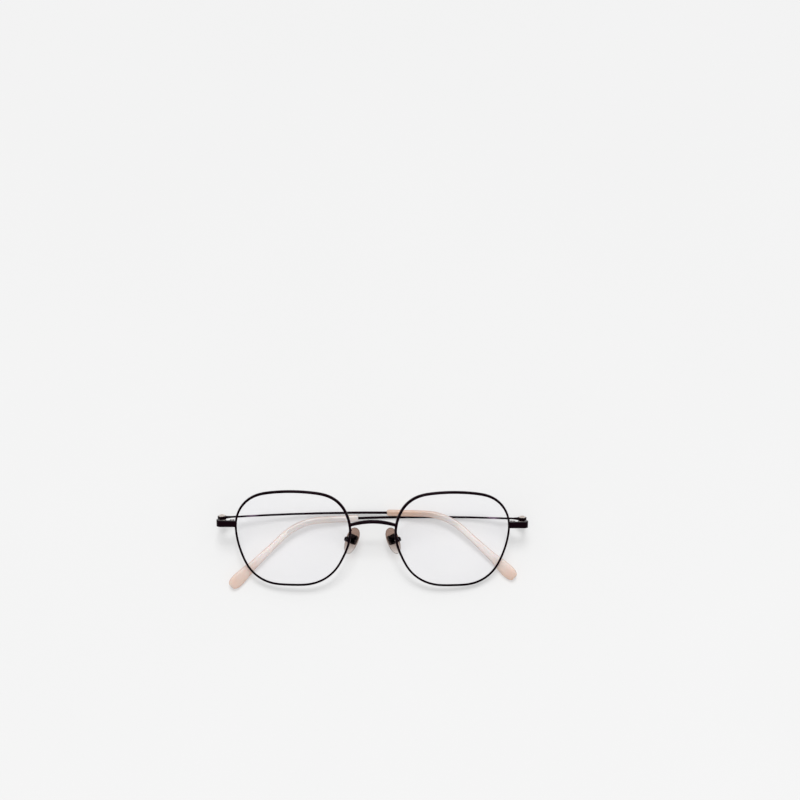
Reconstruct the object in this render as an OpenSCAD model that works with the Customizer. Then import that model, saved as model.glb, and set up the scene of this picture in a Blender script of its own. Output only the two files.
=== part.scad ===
// Square metal eyeglasses with cable thin temples and acetate tips.
// They lie folded on a table, front face up, as they are put down after use.
// The front is drawn in its own frame: x to the viewer's right, y up the lens, z out of the front.
// The whole pair is then laid on the three points that it rests on.

/* [Lenses] */
// Width of one lens opening, across the middle of the rim wire
lens_width = 50; // [44:0.5:56]
// Height of one lens opening, across the middle of the rim wire
lens_height = 42; // [36:0.5:46]
// Distance between the two lens centres
lens_spacing = 70; // [66:0.5:74]
// Radius of the front curve of the lenses
base_curve_radius = 111; // [85:1:200]
// Turn of each lens towards its temple
wrap_angle = 4.2; // [0:0.1:8]
// Thickness of the lens at its centre
lens_thickness = 1.6; // [1:0.1:2.2]

/* [Rims] */
// Width of the rim wire as seen from the front
rim_width = 1.05; // [0.9:0.05:1.6]
// Depth of the rim wire from front to back
rim_depth = 1.8; // [1.6:0.1:2.6]
// Depth of the groove that holds the lens
groove_depth = 0.4; // [0.2:0.05:0.5]
// Width of the groove at its mouth
groove_width = 0.9; // [0.6:0.05:1.2]

/* [Bridge] */
// Height of the bridge ends above the lens centres
bridge_level = 5.9; // [3:0.1:9]
// Rise of the bridge in its middle
bridge_rise = 1.6; // [1:0.1:5]
// Height of the bridge bar as seen from the front
bridge_height = 1.3; // [0.9:0.05:2]
// Depth of the bridge bar from front to back
bridge_depth = 1.7; // [1.2:0.1:2.6]

/* [End pieces] */
// Height of the middle of the end pieces above the lens centres
end_piece_level = 5.4; // [3:0.1:7]
// Height of the end piece bar as seen from the front
end_piece_height = 2.7; // [2.4:0.1:4]
// Thickness of the end piece bar
end_piece_thickness = 1.3; // [1:0.1:1.8]
// Reach of the end piece outside the rim wire
end_piece_reach = 8.4; // [7:0.1:12]
// Distance from the front of the end piece back to the hinge screw
hinge_setback = 8; // [6.5:0.1:11]
// Outer diameter of the hinge lug and of the temple eye
hinge_diameter = 3.7; // [3.2:0.1:4.4]
// Diameter of the plain shank of the hinge screw
hinge_screw_diameter = 1.4; // [1.2:0.05:1.8]
// Thickness of the temple eye
eye_thickness = 1.25; // [1:0.05:1.6]
// Thickness of the hinge washer
washer_thickness = 0.2; // [0.15:0.05:0.4]

/* [Temples] */
// Length of the temple along its middle, from the hinge screw to the end of the tip
temple_length = 139.5; // [130:0.5:150]
// Length of bare wire between the hinge screw and the tip
bare_wire_length = 73; // [60:1:80]
// Distance from the hinge screw to the start of the ear bend
ear_bend_start = 89.5; // [85:0.5:98]
// Radius of the ear bend
ear_bend_radius = 26; // [14:1:40]
// Angle of the ear bend
ear_bend_angle = 41.5; // [30:0.5:50]
// Radius of the sideways bow that follows the head
head_bow_radius = 250; // [235:5:300]
// Height of the wire beside the hinge
wire_height_hinge = 0.75; // [0.6:0.05:1]
// Height of the wire where it enters the tip
wire_height_tip = 1.1; // [0.8:0.05:1.3]
// Turn of the folded temple away from the front, measured at the hinge
folded_angle = 11.9; // [11:0.1:16]
// Lean of both hinge screws, which lets the folded temples pass each other
fold_lean = 1; // [0.8:0.05:2]

/* [Temple tips] */
// Height of the tip where the wire enters
tip_height_start = 2.8; // [2.4:0.1:3.2]
// Width of the paddle near the end of the tip
tip_paddle_width = 6; // [4.5:0.1:6.5]
// Thickness of the tip
tip_thickness = 2.5; // [2.2:0.1:2.8]

/* [Nose pads] */
// Length of the nose pad
pad_length = 11.9; // [10:0.1:14]
// Width of the nose pad
pad_width = 7.2; // [6:0.1:8]
// Thickness of the nose pad
pad_thickness = 2; // [1.6:0.1:2.4]
// Distance of the pad screw from the middle of the bridge
pad_screw_offset = 11.1; // [10.5:0.1:12.5]
// Distance of the pad screw below the lens centres
pad_screw_drop = 2.4; // [2:0.1:4.5]
// Distance of the pad screw behind the front
pad_screw_setback = 7.4; // [6.5:0.1:8.5]
// Turn of the pads away from straight back, so that they open towards the face
pad_splay = 40; // [30:1:50]
// Lean of the pads, closer together at the top
pad_lean = 20; // [8:1:24]
// Tilt of the pads, further back at the top
pad_tilt = 13; // [5:1:20]
// Diameter of the pad arm wire
pad_arm_diameter = 1; // [0.8:0.05:1.2]

/* [Hidden] */
left = -1;
right = 1;

// Clearances, and the overlap that joins the parts of one bar
lens_play = 0.05;
running_clearance = 0.03;
face_gap = 0.05;
seat_gap = 0.1;
join = 0.005;

// Facet counts
corner_steps = 11;
tube_sides = 10;
tip_sides = 12;
round_faces = 48;
small_faces = 32;
bridge_steps = 16;

// Colours, close to the plum enamel, milky acetate and clear resin of the real pair
plum = "#2a1620";
steel = "#c9c6c2";
milky = "#ecd9cd";
smoke = "#8d8078";
clear = "#dfe4ea";

function unit(v) = v / norm(v);
function mix(a, b, t) = a + (b - a) * t;
function turn_y(p, a) = [p.x * cos(a) + p.z * sin(a), p.y, p.z * cos(a) - p.x * sin(a)];
function turn_z(p, a) = [p.x * cos(a) - p.y * sin(a), p.x * sin(a) + p.y * cos(a), p.z];
function turn_x(p, a) = [p.x, p.y * cos(a) - p.z * sin(a), p.y * sin(a) + p.z * cos(a)];

// A closed skin over rings of equal point counts, capped at both ends.
module skin(rings) {
    n = len(rings[0]);
    m = len(rings);
    polyhedron(
        points = [for (ring = rings) each ring],
        faces = concat(
            [[for (i = [0:n - 1]) i]],
            [[for (i = [n - 1:-1:0]) (m - 1) * n + i]],
            [for (k = [0:m - 2]) for (i = [0:n - 1]) each [
                [k * n + i, (k + 1) * n + (i + 1) % n, k * n + (i + 1) % n],
                [k * n + i, (k + 1) * n + i, (k + 1) * n + (i + 1) % n]]]));
}

// A skin that closes on itself, for the rim wires.
module ring_skin(rings) {
    n = len(rings[0]);
    m = len(rings);
    polyhedron(
        points = [for (ring = rings) each ring],
        faces = [for (k = [0:m - 1]) for (i = [0:n - 1])
            let (a = k * n, b = ((k + 1) % m) * n, j = (i + 1) % n)
            each [[a + i, a + j, b + j], [a + i, b + j, b + i]]]);
}

// The lens outline is a rounded polygon: each corner is [x, y, radius] on a 50 by 42 lens,
// with x towards the temple.
drawn_width = 50;
drawn_height = 42;
lens_corners = [[26, 16.8, 14.5], [24.3, -3, 39], [16.6, -21.5, 16.5], [-16, -21.5, 18.5],
    [-26.9, 2, 20.3], [-20.3, 18.3, 14], [0.3, 21.5, 73]];
lens_scale = [lens_width / drawn_width, lens_height / drawn_height];

// Points of one rounded corner, moved outwards by d.
function corner_points(before, corner, after, d) = let (
    p = [corner.x, corner.y],
    u = unit([before.x, before.y] - p),
    v = unit([after.x, after.y] - p),
    half = acos(u * v) / 2,
    centre = p + unit(u + v) * corner.z / sin(half),
    start = p + u * corner.z / tan(half) - centre,
    end = p + v * corner.z / tan(half) - centre,
    a0 = atan2(start.y, start.x),
    sweep = acos(start * end / (norm(start) * norm(end))))
    [for (i = [0:corner_steps]) let (a = a0 + sign_turn(start, end) * sweep * i / corner_steps)
        [(centre.x + (corner.z + d) * cos(a)), (centre.y + (corner.z + d) * sin(a))]];
function sign_turn(a, b) = a.x * b.y - a.y * b.x < 0 ? -1 : 1;
function outline(d) = let (c = lens_corners, n = len(c))
    [for (i = [0:n - 1])
        let (arc = corner_points(c[(i + n - 1) % n], c[i], c[(i + 1) % n], d),
            next = corner_points(c[i], c[(i + 1) % n], c[(i + 2) % n], d))
        each concat(arc, [(arc[corner_steps] + next[0]) / 2])];
function scaled_outline(d) = [for (p = outline(d)) [p.x * lens_scale.x, p.y * lens_scale.y]];

// Depth of the curved lens face at a point of the lens plane.
function sag(p) = base_curve_radius - sqrt(pow(base_curve_radius, 2) - p * p);
// From the lens plane of the right lens to the front's own frame.
function on_front(p, depth) = turn_y([p.x, p.y, depth - sag(p)], wrap_angle) + [lens_spacing / 2, 0, 0];

// Section of the rim wire: [outwards, forwards], with the groove on the inside.
half_rim = rim_width / 2;
half_depth = rim_depth / 2;
rim_section = [
    [-half_rim, -0.85 * half_depth], [-half_rim, -groove_width / 2],
    [groove_depth - half_rim, 0],
    [-half_rim, groove_width / 2], [-half_rim, 0.85 * half_depth],
    [-0.6 * half_rim, half_depth], [0.25 * half_rim, half_depth],
    [0.8 * half_rim, 0.65 * half_depth], [half_rim, 0],
    [0.8 * half_rim, -0.65 * half_depth], [0.25 * half_rim, -half_depth],
    [-0.6 * half_rim, -half_depth]];

// The rim wire meets the end piece here, at the outermost side of the lens.
rim_outer = on_front(rim_outer_point(), 0);
function rim_outer_point() = let (pts = scaled_outline(0), level = end_piece_level)
    [for (i = [0:len(pts) - 1]) let (p = pts[i], q = pts[(i + 1) % len(pts)])
        if (p.x > 0 && (p.y - level) * (q.y - level) <= 0 && p.y != q.y)
            mix(p, q, (level - p.y) / (q.y - p.y))][0];
function rim_inner_point(level) = let (pts = scaled_outline(0))
    [for (i = [0:len(pts) - 1]) let (p = pts[i], q = pts[(i + 1) % len(pts)])
        if (p.x < 0 && (p.y - level) * (q.y - level) <= 0 && p.y != q.y)
            mix(p, q, (level - p.y) / (q.y - p.y))][0];

// Nasal side of the rim, where the bridge and the pad arm are soldered.
rim_nasal = on_front(rim_inner_point(bridge_level), 0);
pad_arm_level = 2.8;
rim_back = on_front(rim_inner_point(pad_arm_level), -half_depth - face_gap);
bridge_bow = 0.6;

// The front of the end piece, its outer face and the hinge screw.
tongue_thickness = 0.4;
end_piece_front = rim_outer.z + half_depth + 0.25 + tongue_thickness;
bar_start = rim_outer.x + half_rim + seat_gap;
corner_radius = 2;
end_piece_outer = rim_outer.x + end_piece_reach;
hinge_x = end_piece_outer - hinge_diameter / 2;
hinge_z = end_piece_front - hinge_setback;
lug_bottom = end_piece_level - end_piece_height / 2;
lug_height = 1.1;
lug_top = lug_bottom + lug_height;
eye_bottom = lug_top + washer_thickness + face_gap * 2;
hinge_y = eye_bottom + eye_thickness / 2;
head_diameter = 3;
head_height = 0.75;
head_rim = 0.2;
slot_width = 0.6;
slot_depth = 0.35;
lug_high = -eye_thickness / 2 - 2 * face_gap - washer_thickness;
lug_low = lug_high - lug_height;
// The full height of the bar runs this far round the corner.
full_return = 1.2;
// The eye's blend into the wire, from its root to its end, and the thin end of the core in the tip.
eye_root = 1;
eye_blend = 4;
core_end = 0.8;
core_play = 0.05;
// Slit of the rim, and the rim lock that closes it behind the end piece.
rim_slit = 0.15;
thread_play = 0.01;
lock_width = 2;
lock_depth = 1.9;
lock_x = bar_start + lock_width / 2;
lock_z = end_piece_front - end_piece_thickness - face_gap - lock_depth / 2;
lock_block = (end_piece_height - rim_slit - 2 * seat_gap) / 2;
lock_screw_diameter = 0.9;
lock_head_height = 0.35;

// Nose pad carrier, measured from the pad screw.
pad_seat = 1.5;
pad_points = 24;
pad_drop_shape = 0.12;
insert_width = 5.2;
insert_length = 4.4;
insert_depth = 0.9;
tongue_width = 1.5;
tongue_radius = 0.85;
pad_screw_radius = 0.35;
box_base = 0.9;
box_wall = 0.5;
box_low = -0.7;
box_half = 1.35;
box_length = 2.2;
box_round = 1.5;
screw_head_height = 0.4;
solder_radius = 1;
solder_sink = 0.3;

// The temple, in its own frame: it leaves the hinge along -x and bows towards the front.
bend_length = ear_bend_radius * ear_bend_angle * PI / 180;
function along(l) = l < ear_bend_start ? l
    : l < ear_bend_start + bend_length
        ? ear_bend_start + ear_bend_radius * sin((l - ear_bend_start) / bend_length * ear_bend_angle)
        : ear_bend_start + ear_bend_radius * sin(ear_bend_angle)
            + (l - ear_bend_start - bend_length) * cos(ear_bend_angle);
function drop(l) = l < ear_bend_start ? 0
    : l < ear_bend_start + bend_length
        ? ear_bend_radius * (1 - cos((l - ear_bend_start) / bend_length * ear_bend_angle))
        : ear_bend_radius * (1 - cos(ear_bend_angle))
            + (l - ear_bend_start - bend_length) * sin(ear_bend_angle);
function droop_angle(l) = ear_bend_angle * max(0, min(1, (l - ear_bend_start) / bend_length));
function heading(l) = along(l) / head_bow_radius * 180 / PI - folded_angle;
function temple_point(l) = [
    -head_bow_radius * (sin(heading(l)) + sin(folded_angle)),
    -drop(l),
    head_bow_radius * (cos(folded_angle) - cos(heading(l)))];
// Section axes of the temple: up across the wire and out of its head side.
function temple_up(l) = [-sin(droop_angle(l)) * cos(heading(l)), cos(droop_angle(l)),
    sin(droop_angle(l)) * sin(heading(l))];
function temple_side(l) = [sin(heading(l)), 0, cos(heading(l))];
function temple_ring(l, height, thickness, sides, squareness) =
    [for (i = [0:sides - 1]) let (a = 360 * (i + 0.5) / sides,
        c = soft(cos(a), squareness), s = soft(sin(a), squareness))
        temple_point(l) + temple_up(l) * height / 2 * s + temple_side(l) * thickness / 2 * c];
function soft(x, squareness) = sign(x) * pow(abs(x), squareness);

// The core ends this far before the tip does. The tip's mouth is a narrow lip, and the tip is
// straight up to the sleeve's end. The bore for the core runs past it by the mouth gap.
core_setback = 34;
core_length = temple_length - core_setback;
lip_length = 0.6;
lip_share = 0.82;
mouth_gap = 0.4;
sleeve_length = 8;
bend_steps = 8;
bend_stations = [for (k = [0:bend_steps]) ear_bend_start + bend_length * k / bend_steps];
core_stations = concat([bare_wire_length - mouth_gap, bare_wire_length + sleeve_length],
    [for (l = bend_stations) if (l < core_length - mouth_gap) l]);
wire_spacing = 10;
wire_stations = [for (l = [eye_blend * 3:wire_spacing:bare_wire_length - eye_blend]) l];

// Sections of the wire and of the tip at a distance l from the hinge screw.
function eye_share(l) = max(0, l - eye_root) / (eye_blend - eye_root);
function wire_height(l) = l < eye_blend ? mix(eye_thickness, wire_height_hinge, eye_share(l))
    : l < bare_wire_length
        ? mix(wire_height_hinge, wire_height_tip, (l - eye_blend) / (bare_wire_length - eye_blend))
        : mix(wire_height_tip, core_end, (l - bare_wire_length) / (core_length - bare_wire_length));
function wire_depth(l) = l < eye_blend ? mix(hinge_diameter * 0.75, wire_height_tip, eye_share(l))
    : wire_height(max(l, bare_wire_length));
function wire_ring(l, play) =
    temple_ring(l, wire_height(l) + 2 * play, wire_depth(l) + 2 * play, tube_sides, 1);
// The tip swells from the wire end to the paddle: [distance from its end, share of the swelling].
tip_profile = [[0, 0.1], [0.8, 0.55], [2.2, 0.9], [4.8, 1], [9.5, 0.66], [13.5, 0.32], [19.5, 0.16],
    [25, 0]];
function lip(l) = l < bare_wire_length + lip_length / 2 ? lip_share : 1;
function tip_height(l) =
    lip(l) * mix(tip_height_start, tip_paddle_width, lookup(temple_length - l, tip_profile));
function tip_depth(l) = tip_thickness * (l > temple_length - lip_length / 2 ? lip_share : lip(l));
function tip_ring(l) = temple_ring(l, tip_height(l), tip_depth(l), tip_sides, 0.7);

// Where the pair stands: the lowest points of both tips and of the right temple.
tip_points = [for (q = tip_profile) each tip_ring(temple_length - q.x)];
bow_points = concat([for (l = wire_stations) each wire_ring(l, 0)],
    tip_ring(bare_wire_length + lip_length));
function hinged(points, s) = [for (p = points) turn_z([s * p.x, p.y, p.z], fold_lean)
    + [s * hinge_x, hinge_y, hinge_z]];
function lowest(points, n) = let (heights = points * n, low = min(heights))
    [for (i = [0:len(points) - 1]) if (heights[i] == low) points[i]][0];
function table_normal(n) = let (
    a = lowest(hinged(tip_points, right), n),
    b = lowest(hinged(tip_points, left), n),
    c = lowest(hinged(bow_points, right), n),
    across = cross(b - a, c - a))
    unit(across.z > 0 ? across : -across);
table_up = table_normal(table_normal([0, sin(25), cos(25)]));
rest_roll = -atan2(table_up.x, table_up.z);
rest_pitch = atan2(table_up.y, norm([table_up.x, table_up.z]));
function rested(p) = turn_x(turn_y(p, rest_roll), rest_pitch);
foot = lowest(hinged(tip_points, right), table_up);
rest_height = -rested(foot).z;
// The pair is centred front to back between its tip ends and the top of its rims.
rim_points = [for (p = scaled_outline(half_rim)) on_front(p, 0)];
top_edge = max([for (p = rim_points) rested(p).y]);
tip_edge = min([for (p = hinged(tip_points, right)) rested(p).y]);
rest_shift = -(top_edge + tip_edge) / 2;
module rest() {
    translate([0, rest_shift, rest_height]) rotate([rest_pitch, 0, 0]) rotate([0, rest_roll, 0]) children();
}
module side(s) {
    if (s == right) children();
    else mirror([1, 0, 0]) children();
}
// The frame of a hinge: y runs along the screw, the right temple leaves along -x.
module at_hinge(s) {
    translate([s * hinge_x, hinge_y, hinge_z]) rotate([0, 0, fold_lean]) side(s) children();
}
// A cylinder along y from y0 to y1.
module pin_y(r, y0, y1) {
    translate([0, y0, 0]) rotate([-90, 0, 0]) cylinder(r = r, h = y1 - y0, $fn = round_faces);
}

// Rim: grooved eyewire on the base curve, slit at the temple side where the rim lock closes it.
module rim(s) {
    band = [for (q = rim_section) scaled_outline(q.x)];
    rings = [for (i = [0:len(band[0]) - 1]) [for (j = [0:len(rim_section) - 1])
        on_front(band[j][i], rim_section[j].y)]];
    color(plum) rest() side(s) difference() {
        ring_skin(rings);
        translate([rim_outer.x, end_piece_level, rim_outer.z])
            cube([rim_width * 3, rim_slit, rim_depth * 2], center = true);
    }
}

// Lens: a curved blank with a V bevel that sits in the rim's groove.
module lens(s) {
    edge = -half_rim - lens_play;
    apex = groove_depth - half_rim - lens_play;
    half_lens = lens_thickness / 2;
    half_bevel = groove_width / 2;
    section = [[edge, half_lens, 0.1], [edge, half_lens, 0.55], [edge, half_lens, 1],
        [edge, half_bevel, 1], [apex, 0, 1], [edge, -half_bevel, 1],
        [edge, -half_lens, 1], [edge, -half_lens, 0.55], [edge, -half_lens, 0.1]];
    rings = [for (q = section) [for (p = scaled_outline(q.x)) on_front(p * q.z, q.y)]];
    color(clear, 0.35) rest() side(s) skin(rings);
}

// Bridge: an arched bar between the rims, a little thinner at its ends.
module bridge() {
    from_rim = rim_nasal.x - half_rim - seat_gap;
    rings = [for (i = [-bridge_steps:bridge_steps]) let (
        t = i / bridge_steps,
        slope = atan2(-2 * t * bridge_rise, from_rim),
        centre = [t * from_rim, bridge_level + bridge_rise * (1 - t * t),
            rim_nasal.z + bridge_bow * (1 - t * t)],
        h = bridge_height * (1 - 0.2 * pow(abs(t), 4)),
        up = abs(i) == bridge_steps ? [0, 1, 0] : [-sin(slope), cos(slope), 0])
        [for (k = [0:tube_sides - 1]) let (a = -360 * (k + 0.5) / tube_sides)
            centre + up * h / 2 * soft(sin(a), 0.6) + [0, 0, bridge_depth / 2 * soft(cos(a), 0.6)]]];
    color(plum) rest() skin(rings);
}

// An outline in the plan of the front, raised between two levels.
module slab(y0, y1) {
    translate([0, y1, 0]) rotate([90, 0, 0]) linear_extrude(y1 - y0) children();
}

// Plan of the end piece: a bar that turns the corner and runs back.
module end_piece_plan(back) {
    corner_x = end_piece_outer - corner_radius;
    corner_z = end_piece_front - corner_radius;
    inner = corner_radius - end_piece_thickness;
    translate([bar_start, end_piece_front - end_piece_thickness])
        square([corner_x - bar_start + join, end_piece_thickness]);
    translate([corner_x, corner_z]) intersection() {
        difference() {
            circle(r = corner_radius, $fn = round_faces);
            circle(r = inner, $fn = round_faces);
        }
        square(corner_radius * 2);
    }
    translate([end_piece_outer - end_piece_thickness, back])
        square([end_piece_thickness, corner_z - back + join]);
}

// End piece: bar in front of the rim, turned back at the corner, with the hinge lug at its end.
module end_piece(s) {
    middle = end_piece_level;
    color(plum) rest() difference() {
        union() {
            side(s) {
                slab(lug_bottom, middle + end_piece_height / 2)
                    end_piece_plan(end_piece_front - corner_radius - full_return);
                slab(lug_bottom, lug_bottom + lug_height) end_piece_plan(hinge_z);
                slab(lug_bottom, middle + end_piece_height / 2)
                    translate([rim_outer.x - half_rim, end_piece_front - tongue_thickness])
                        square([bar_start - rim_outer.x + half_rim + face_gap, tongue_thickness]);
            }
            at_hinge(s) pin_y(hinge_diameter / 2, lug_low, lug_high);
        }
        at_hinge(s) pin_y(hinge_screw_diameter / 2 + thread_play, lug_low - 1, lug_high + 1);
    }
}

// Rim lock: two blocks behind the end piece, drawn together by a small screw.
module rim_lock(s) {
    color(plum) rest() side(s) for (up = [-1, 1])
        translate([lock_x, end_piece_level + up * (rim_slit + lock_block) / 2, lock_z]) difference() {
            cube([lock_width, lock_block, lock_depth], center = true);
            pin_y(lock_screw_diameter / 2 + thread_play, -lock_block, lock_block);
        }
}

// Rim lock screw: through both blocks, its head under the lower one.
module rim_lock_screw(s) {
    bottom = -rim_slit / 2 - lock_block;
    color(steel) rest() side(s) translate([lock_x, end_piece_level, lock_z]) {
        pin_y(lock_screw_diameter / 2, bottom - face_gap, -bottom);
        pin_y(lock_screw_diameter * 0.8, bottom - face_gap - lock_head_height, bottom - face_gap);
    }
}

// Hinge screw: domed slotted head over the temple eye, threaded end in the lug.
module hinge_screw(s) {
    head_low = eye_thickness / 2 + face_gap;
    r = head_diameter / 2;
    dome = (r * r + pow(head_height - head_rim, 2)) / (2 * (head_height - head_rim));
    color(steel) rest() at_hinge(s) difference() {
        union() {
            pin_y(hinge_screw_diameter / 2, lug_low, head_low + face_gap);
            intersection() {
                pin_y(r, head_low, head_low + head_height);
                translate([0, head_low + head_height - dome, 0]) sphere(r = dome, $fn = round_faces);
            }
        }
        translate([0, head_low + head_height, 0])
            cube([head_diameter * 2, slot_depth * 2, slot_width], center = true);
    }
}

// Hinge washer between the lug and the temple eye.
module hinge_washer(s) {
    low = -eye_thickness / 2 - face_gap - washer_thickness;
    color(steel) rest() at_hinge(s) difference() {
        pin_y(hinge_diameter / 2 - 0.1, low, low + washer_thickness);
        pin_y(hinge_screw_diameter / 2 + running_clearance, low - 1, low + 1);
    }
}

// Temple: eye, wire that thickens towards the tip, and the core that runs on inside the tip.
module temple(s) {
    stations = concat([for (k = [0:3]) mix(eye_root, eye_blend, k / 3)], wire_stations, core_stations,
        [core_length]);
    color(plum) rest() at_hinge(s) difference() {
        union() {
            pin_y(hinge_diameter / 2, -eye_thickness / 2, eye_thickness / 2);
            skin([for (l = stations) wire_ring(l, 0)]);
        }
        pin_y(hinge_screw_diameter / 2 + running_clearance, -eye_thickness, eye_thickness);
    }
}
// Temple tip: a sleeve round the core that swells into a flat paddle with a pointed end.
module temple_tip(s) {
    stations = concat([for (l = [0, lip_length, sleeve_length]) bare_wire_length + l], bend_stations,
        [for (i = [len(tip_profile) - 1:-1:0]) temple_length - tip_profile[i].x]);
    color(milky, 0.75) rest() at_hinge(s) difference() {
        skin([for (l = stations) tip_ring(l)]);
        skin([for (l = concat(core_stations, [core_length + mouth_gap])) wire_ring(l, core_play)]);
    }
}

// The frame of a nose pad: x along the pad screw, y up the pad, z away from the nose.
module at_pad(s) {
    side(s) translate([pad_screw_offset, -pad_screw_drop, -pad_screw_setback])
        rotate([-pad_tilt, 0, 0]) rotate([0, 0, pad_lean]) rotate([0, 90 - pad_splay, 0]) children();
}
function pad_to_front(p) = turn_x(turn_z(turn_y(p, 90 - pad_splay), pad_lean), -pad_tilt)
    + [pad_screw_offset, -pad_screw_drop, -pad_screw_setback];

// A cylinder along x, centred.
module pin_x(r, x0, x1) {
    translate([x0, 0, 0]) rotate([0, 90, 0]) cylinder(r = r, h = x1 - x0, $fn = small_faces);
}

// Nose pad: a soft oval with a domed face towards the nose and a pocket for its insert.
module nose_pad(s) {
    layers = [[0, 0.84], [0.25, 0.96], [0.5, 1], [0.75, 0.93], [0.93, 0.7], [1, 0.35]];
    color(smoke, 0.6) rest() at_pad(s) difference() {
        skin([for (q = layers) [for (k = [0:pad_points - 1]) let (a = -360 * k / pad_points)
            [pad_width / 2 * q[1] * soft(cos(a), 0.85) * (1 + pad_drop_shape * sin(a)),
                pad_length / 2 * q[1] * soft(sin(a), 0.9), -pad_seat - pad_thickness * q[0]]]]);
        translate([0, 0, -pad_seat - insert_depth / 2 + 0.5])
            cube([insert_width + face_gap * 2, insert_length + face_gap * 2,
                insert_depth + 1 + face_gap * 2], center = true);
    }
}

// Pad insert: the plate inside the pad and the tongue that turns on the pad screw.
module pad_insert(s) {
    color("#1c1614") rest() at_pad(s) difference() {
        union() {
            translate([0, 0, -pad_seat - insert_depth / 2])
                cube([insert_width, insert_length, insert_depth], center = true);
            translate([-tongue_width / 2, -tongue_radius, -pad_seat - insert_depth / 2])
                cube([tongue_width, tongue_radius * 2, pad_seat + insert_depth / 2]);
            pin_x(tongue_radius, -tongue_width / 2, tongue_width / 2);
        }
        pin_x(pad_screw_radius + running_clearance, -2, 2);
    }
}

// Pad arm: wire from the back of the rim to the open box that carries the pad.
module pad_arm(s) {
    foot = rim_back;
    top = pad_to_front([0, 0, box_base + box_wall]);
    route = [foot, foot + [0.2, -0.3, -1.6], mix(foot, top, 0.55) + [0.3, 0.4, -0.6],
        top + [0.35, 1, 0.1], top + [0, 0.1, 0]];
    path = [for (i = [0:len(route) - 2]) for (k = [0:2]) spline(route, i, k / 3)];
    all = concat(path, [route[len(route) - 1]]);
    color(plum) rest() {
        side(s) skin([for (i = [0:len(all) - 1])
            let (d = i == 0 ? [0, 0, -1] : unit(all[min(i + 1, len(all) - 1)] - all[i - 1]),
                u = unit(cross(d, [1, 0, 0])), v = cross(d, u))
            [for (k = [0:7]) all[i] + (u * cos(45 * k) + v * sin(45 * k)) * pad_arm_diameter / 2]]);
        at_pad(s) difference() {
            union() {
                intersection() {
                    translate([0, 0, (box_base + box_wall + box_low) / 2])
                        cube([box_half * 2, box_length, box_base + box_wall - box_low], center = true);
                    translate([0, 0, box_low - 1])
                        cylinder(r = box_round, h = box_base + box_wall + 2, $fn = small_faces);
                }
                translate([0, 0, box_base + box_wall - solder_sink])
                    sphere(r = solder_radius, $fn = small_faces);
            }
            translate([0, 0, (box_base + box_low - 1) / 2])
                cube([tongue_width + face_gap * 2, box_length * 2, box_base - box_low + 1], center = true);
            pin_x(pad_screw_radius + thread_play, -3, 3);
        }
    }
}
function spline(r, i, t) = let (
    a = r[max(0, i - 1)],
    b = r[i],
    c = r[i + 1],
    d = r[min(len(r) - 1, i + 2)])
    0.5 * (2 * b + (c - a) * t + (2 * a - 5 * b + 4 * c - d) * t * t + (3 * b - a - 3 * c + d) * t * t * t);

// Pad screw: bright screw through the box and the tongue.
module pad_screw(s) {
    color(steel) rest() at_pad(s) {
        pin_x(pad_screw_radius, -box_half - face_gap, box_half);
        pin_x(pad_screw_radius * 2, -box_half - face_gap - screw_head_height, -box_half - face_gap);
    }
}

rim(left);  // rim_left
rim(right);  // rim_right
lens(left);  // lens_left
lens(right);  // lens_right
bridge();
end_piece(left);  // end_piece_left
end_piece(right);  // end_piece_right
rim_lock(left);  // rim_lock_left
rim_lock(right);  // rim_lock_right
rim_lock_screw(left);  // rim_lock_screw_left
rim_lock_screw(right);  // rim_lock_screw_right
hinge_screw(left);  // hinge_screw_left
hinge_screw(right);  // hinge_screw_right
hinge_washer(left);  // hinge_washer_left
hinge_washer(right);  // hinge_washer_right
pad_arm(left);  // pad_arm_left
pad_arm(right);  // pad_arm_right
pad_screw(left);  // pad_screw_left
pad_screw(right);  // pad_screw_right
nose_pad(left);  // nose_pad_left
nose_pad(right);  // nose_pad_right
pad_insert(left);  // pad_insert_left
pad_insert(right);  // pad_insert_right
temple(left);  // temple_left
temple(right);  // temple_right
temple_tip(left);  // temple_tip_left
temple_tip(right);  // temple_tip_right
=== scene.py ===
"""Square metal eyeglasses lying folded on a white card, dressed for a studio photograph."""

import math

import bmesh
import bpy
from mathutils import Matrix, Vector


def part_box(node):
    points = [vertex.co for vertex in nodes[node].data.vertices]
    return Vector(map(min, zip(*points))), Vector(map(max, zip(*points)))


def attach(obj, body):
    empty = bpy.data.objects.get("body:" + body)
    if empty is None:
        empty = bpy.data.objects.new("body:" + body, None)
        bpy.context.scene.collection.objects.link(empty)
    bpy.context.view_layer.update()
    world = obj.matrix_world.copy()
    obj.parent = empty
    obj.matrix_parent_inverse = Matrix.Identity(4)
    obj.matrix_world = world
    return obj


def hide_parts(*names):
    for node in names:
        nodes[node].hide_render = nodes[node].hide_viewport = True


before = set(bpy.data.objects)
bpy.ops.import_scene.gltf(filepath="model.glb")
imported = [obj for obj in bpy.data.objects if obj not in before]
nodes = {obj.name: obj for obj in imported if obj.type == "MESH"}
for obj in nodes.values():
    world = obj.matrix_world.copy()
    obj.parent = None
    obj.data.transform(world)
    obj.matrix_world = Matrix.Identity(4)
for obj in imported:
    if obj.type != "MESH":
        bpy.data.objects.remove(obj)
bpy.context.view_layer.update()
scene = bpy.context.scene

# Camera: a short telephoto lens held above the table, a little towards the wearer's side.
# It takes in much more of the table than the pair covers, and the pair lies low in the picture.
camera_data = bpy.data.cameras.new("camera")
camera_data.lens = 63
camera_data.sensor_width = 36
camera_data.clip_start = 0.01
camera_data.clip_end = 20
camera = bpy.data.objects.new("camera", camera_data)
camera.location = (-0.00118, -0.06401, 0.62098)
camera.rotation_euler = [math.radians(a) for a in (11.722, -1.2575, 0.3403)]
scene.collection.objects.link(camera)
scene.camera = camera
scene.view_settings.view_transform = "Standard"


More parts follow.
